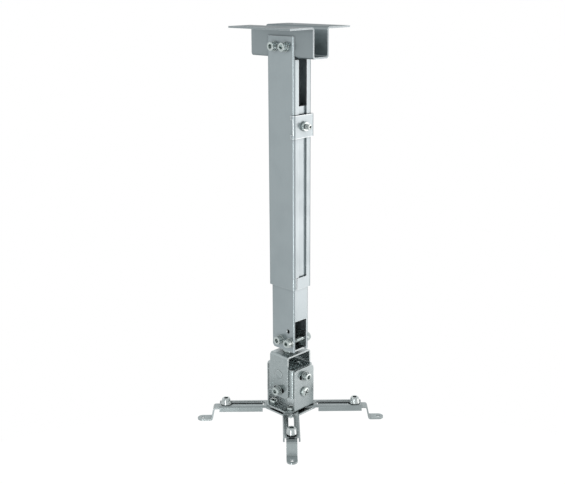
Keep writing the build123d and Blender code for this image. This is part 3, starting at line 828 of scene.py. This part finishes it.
armPan = {"height": 3.0, "radius": 4.6, "shank": 2.5, "pitch": 0.8, "cross": 5.0, "depth": 1.7,
          "turns": (33, 12, 70, 50), "nutFlats": 8.0, "nutHeight": 4.0}
armSigns = {"Left": (-1, -1), "Front": (1, -1), "Right": (1, 1), "Rear": (-1, 1)}


def dressArmPivots():
    low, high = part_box("arm_pivot_screws")
    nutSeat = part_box("arm_pivot_nuts")[0].z
    seat = high.z - armPan["height"] * mm
    radius = armPan["radius"] * mm
    off = high.x - radius
    screw = panScrew(armPan, radius, seat - low.z)
    nut = hexNut("nutMaster", armPan["nutFlats"] * mm, armPan["nutHeight"] * mm, armPan["shank"] * mm)
    for (side, (x, y)), turn in zip(armSigns.items(), armPan["turns"]):
        screwPlace = Vector((x * off, y * off, seat))
        nutPlace = Vector((x * off, y * off, nutSeat))
        setPiece(screw, f"ArmPivotScrew{side}", "arm_pivot_screws", brightZinc, screwPlace, (0, 0, 1), turn)
        setPiece(nut, f"ArmPivotNut{side}", "arm_pivot_nuts", brightZinc, nutPlace, (0, 0, 1), turn)
    discard(screw, nut)


dressArmPivots()
print("pivot screws made")


# Clamp screw with its two nuts

clampLook = {"radius": 3.0, "pitch": 1.0, "key": 3.0, "keyDepth": 3.0, "turn": 20, "nutTurn": 30}


def dressClamp():
    low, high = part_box("clamp_screw")
    middle = (low.z + high.z) / 2
    length = high.x - low.x
    radius = clampLook["radius"] * mm
    screw = threadedRod("ClampSetScrew", radius, clampLook["pitch"] * mm, length)
    cutSocket(screw, clampLook["key"] * mm, length, clampLook["keyDepth"] * mm)
    foot = Vector((low.x, 0, middle))
    setPiece(screw, "ClampScrewEnd", "clamp_screw", brightZinc, foot, (1, 0, 0), clampLook["turn"])
    discard(screw)
    for node, toward in (("clamp_lock_nut", 1), ("clamp_weld_nut", -1)):
        nutLow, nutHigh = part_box(node)
        nut = hexNut("nutMaster", nutHigh.y - nutLow.y, nutHigh.x - nutLow.x, radius)
        foot = Vector((nutLow.x if toward > 0 else nutHigh.x, 0, middle))
        setPiece(nut, titleOf(node) + "Piece", node, brightZinc, foot, (toward, 0, 0), clampLook["nutTurn"])
        discard(nut)


dressClamp()


# Swivel bolt, spacer and lock nut

swivelLook = {"radius": 4.0, "pitch": 1.25, "flats": 13.0, "headHeight": 5.3, "core": 1.0, "coreSides": 24,
              "headTurn": 10, "nutTurn": 20}


def dressSwivel():
    radius = swivelLook["radius"] * mm
    flats = swivelLook["flats"] * mm
    headHeight = swivelLook["headHeight"] * mm
    core = swivelLook["core"] * mm
    upward = (0, 0, 1)
    low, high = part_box("swivel_bolt")
    head = hexNut("SwivelBoltHead", flats, headHeight, core)
    rod = threadedRod("rod", radius, swivelLook["pitch"] * mm, high.z - low.z - headHeight)
    rod.data.transform(Matrix.Translation((0, 0, headHeight)))
    plug = addCylinder("plug", core, headHeight, swivelLook["coreSides"])
    joinTo(head, rod, plug)
    foot = Vector((0, 0, low.z))
    setPiece(head, "SwivelBoltPiece", "swivel_bolt", brightZinc, foot, upward, swivelLook["headTurn"])
    low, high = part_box("swivel_spacer")
    ring = flatWasher(high.x, radius, high.z - low.z)
    setPiece(ring, "SwivelSpacerPiece", "swivel_spacer", brightZinc, Vector((0, 0, low.z)), upward)
    low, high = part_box("swivel_lock_nut")
    nut = hexNut("nutMaster", flats, high.z - low.z, radius)
    foot = Vector((0, 0, low.z))
    setPiece(nut, "SwivelLockNutPiece", "swivel_lock_nut", brightZinc, foot, upward, swivelLook["nutTurn"])
    discard(head, ring, nut)


dressSwivel()


# Tilt rivets

rivetLook = {"shank": 4.0, "headHeight": 1.2, "sides": 56, "rim": 0.38,
             "rises": ((0.30, 0.90), (0.18, 0.76), (0.09, 0.58), (0.05, 0.36)), "smooth": 40}


def dressRivets():
    low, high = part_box("tilt_rivets")
    radius = (high.z - low.z) / 2
    up = Vector((0, 0, (high.z + low.z) / 2))
    head = rivetLook["headHeight"] * mm
    rim = head * rivetLook["rim"]
    outer = high.y - head
    length = outer - innerEnd("tilt_rivets", 1) - head
    body = addCylinder("rivetMaster", rivetLook["shank"] * mm, length, rivetLook["sides"], -length)
    for start, turn in ((0, 0), (-length, pi)):
        cap = addCylinder("cap", radius, rim, rivetLook["sides"])
        grow(cap, [(head * rise, radius * share) for rise, share in rivetLook["rises"]], rim, radius)
        cap.data.transform(Matrix.Translation((0, 0, start)) @ Matrix.Rotation(turn, 4, "X"))
        joinTo(body, cap)
    smoothShade(body, rivetLook["smooth"])
    for side, sign in (("Near", -1), ("Far", 1)):
        out = Vector((0, sign, 0))
        setPiece(body, "TiltRivet" + side, "tilt_rivets", zincSheet, out * outer + up, out)
    discard(body)


dressRivets()
print("clamp, swivel and rivets made")


# Thumb nuts and the studs of the feet

thumbLook = {"sides": 72, "collar": 5.4, "seat": 1.0, "foot": 6.4, "bore": 2.55, "boreSides": 40,
             "boreLength": 17.2, "boreStart": -5.0, "edge": 0.22, "edgeRounds": 3,
             "sharp": 42, "studPitch": 0.8,
             "side": ((0.7, 6.4), (0.5, 5.95), (1.6, 5.85), (1.8, 5.6), (1.5, 5.2), (1.0, 4.75), (0.5, 4.2))}


def thumbMaster():
    # a collar, then a side that leans in and rounds over to the top ring
    collar = thumbLook["collar"] * mm
    seat = thumbLook["seat"] * mm
    nut = addCylinder("thumbMaster", collar, seat, thumbLook["sides"])
    steps = [(rise * mm, radius * mm) for rise, radius in ((0.0, thumbLook["foot"]), *thumbLook["side"])]
    grow(nut, steps, seat, collar)
    hole = addCylinder("hole", thumbLook["bore"] * mm, thumbLook["boreLength"] * mm, thumbLook["boreSides"],
                       thumbLook["boreStart"] * mm)
    combine(nut, hole, "DIFFERENCE")
    softenEdges(nut, thumbLook["edge"] * mm, thumbLook["sharp"], thumbLook["edgeRounds"])
    return nut


def footOf(node):
    # the middle of the node's underside, with its width and height
    low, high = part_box(node)
    return Vector(((low.x + high.x) / 2, (low.y + high.y) / 2, low.z)), high.x - low.x, high.z - low.z


def dressThumbNuts():
    nut = thumbMaster()
    for arm in armNames:
        nutNode = "thumb_nut_" + arm
        studNode = "foot_stud_" + arm
        setPiece(nut, titleOf(nutNode), nutNode, brightNickel, footOf(nutNode)[0], (0, 0, 1))
        place, wide, tall = footOf(studNode)
        stud = threadedRod("FootStudPiece" + arm.title(), wide / 2, thumbLook["studPitch"] * mm, tall)
        stud.data.transform(Matrix.Translation(place))
        dress(stud, studNode, brightZinc)
    discard(nut)


dressThumbNuts()
print("thumb nuts made")


# Floor, lamps, world and camera

floorLook = {"radius": 1.6, "height": -1.25, "sides": 96, "colour": (0.84, 0.85, 0.86, 1), "roughness": 0.8,
             "cameraShare": 0.86, "cameraGlow": 1.08}


def whereSeen(tree):
    # 1 for what looks at the studio: the camera, and the metal or glass that shows it
    path = addNode(tree, "ShaderNodeLightPath")
    direct = maths(tree, "MAXIMUM", path.outputs["Is Camera Ray"], path.outputs["Is Glossy Ray"])
    return maths(tree, "MAXIMUM", direct, path.outputs["Is Transmission Ray"])


def blendShaders(tree, share, first, second):
    blend = addNode(tree, "ShaderNodeMixShader")
    fillSockets(tree, blend.inputs, (share, first.outputs[0], second.outputs[0]))
    return blend.outputs[0]


def makeFloor():
    activateNothing()
    bpy.ops.mesh.primitive_circle_add(vertices=floorLook["sides"], radius=floorLook["radius"],
                                      fill_type="NGON", location=(0, 0, floorLook["height"]))
    floor = bpy.context.active_object
    floor.name = "StudioFloor"
    material = bpy.data.materials.new("studioWhite")
    material.use_nodes = True
    tree = material.node_tree
    shader = tree.nodes["Principled BSDF"]
    shader.inputs["Base Color"].default_value = floorLook["colour"]
    shader.inputs["Roughness"].default_value = floorLook["roughness"]
    glow = addNode(tree, "ShaderNodeEmission", Color=(1, 1, 1, 1), Strength=floorLook["cameraGlow"])
    share = maths(tree, "MULTIPLY", whereSeen(tree), floorLook["cameraShare"])
    tree.links.new(blendShaders(tree, share, shader, glow), tree.nodes["Material Output"].inputs["Surface"])
    floor.data.materials.append(material)


worldLook = {"light": (0.75, 0.76, 0.77, 1), "seen": (1, 1, 1, 1)}


def makeWorld():
    # white where it is seen, also in the metal, and plain soft light for all the rest
    world = bpy.data.worlds.new("studio")
    bpy.context.scene.world = world
    world.use_nodes = True
    tree = world.node_tree
    tree.nodes.clear()
    light = addNode(tree, "ShaderNodeBackground", Color=worldLook["light"], Strength=1.0)
    white = addNode(tree, "ShaderNodeBackground", Color=worldLook["seen"], Strength=1.0)
    output = tree.nodes.new("ShaderNodeOutputWorld")
    tree.links.new(blendShaders(tree, whereSeen(tree), light, white), output.inputs["Surface"])


# A soft box behind on the right lights the open side of the column, a strip in front draws the folds
lampLook = {"KeyRight": {"from": (1.75, 1.78, -0.62), "wide": 1.5, "tall": 1.5, "power": 13.0,
                         "colour": (1.0, 0.90, 0.88)},
            "FillLeft": {"from": (-2.0, -2.2, 0.9), "wide": 1.8, "tall": 1.8, "power": 2.0,
                         "colour": (1.0, 1.0, 1.0)},
            "FrontStrip": {"from": (0.75, -1.41, -0.54), "wide": 0.12, "tall": 1.3, "power": 6.5,
                           "colour": (1.0, 1.0, 1.0)},
            "BackTop": {"from": (-1.13, 1.14, 0.37), "wide": 0.9, "tall": 0.35, "power": 0.3,
                        "colour": (1.0, 1.0, 1.0)}}
lampAim = Vector((0, 0, -0.25))


def makeLamps():
    for name, values in lampLook.items():
        lamp = bpy.data.lights.new(name, "AREA")
        lamp.shape = "RECTANGLE"
        lamp.size = values["wide"]
        lamp.size_y = values["tall"]
        lamp.energy = values["power"]
        lamp.color = values["colour"]
        holder = bpy.data.objects.new(name, lamp)
        holder.visible_camera = False
        holder.location = values["from"]
        holder.rotation_euler = (lampAim - holder.location).to_track_quat("-Z", "Y").to_euler()
        bpy.context.scene.collection.objects.link(holder)


viewLook = {"distance": 1.060, "turn": 44.58, "tilt": 16.07, "roll": -0.32, "aside": 0.00886,
            "height": 0.05305, "lens": 58.75, "sensor": 36, "far": 50}


def makeCamera():
    camera = bpy.data.cameras.new("PhotoView")
    camera.lens = viewLook["lens"]
    camera.sensor_width = viewLook["sensor"]
    camera.clip_end = viewLook["far"]
    holder = bpy.data.objects.new("PhotoView", camera)
    turn = radians(viewLook["turn"])
    place = Vector((-viewLook["aside"] * cos(turn) + viewLook["distance"] * sin(turn),
                    -viewLook["aside"] * sin(turn) - viewLook["distance"] * cos(turn), viewLook["height"]))
    aim = Euler((radians(90 - viewLook["tilt"]), 0, turn)).to_matrix().to_4x4()
    roll = Matrix.Rotation(radians(viewLook["roll"]), 4, "Z")
    holder.matrix_world = Matrix.Translation(place) @ aim @ roll
    bpy.context.scene.collection.objects.link(holder)
    bpy.context.scene.camera = holder


makeFloor()
makeWorld()
makeLamps()
makeCamera()
bpy.context.scene.view_settings.view_transform = "Standard"
print("studio set")

activateNothing()
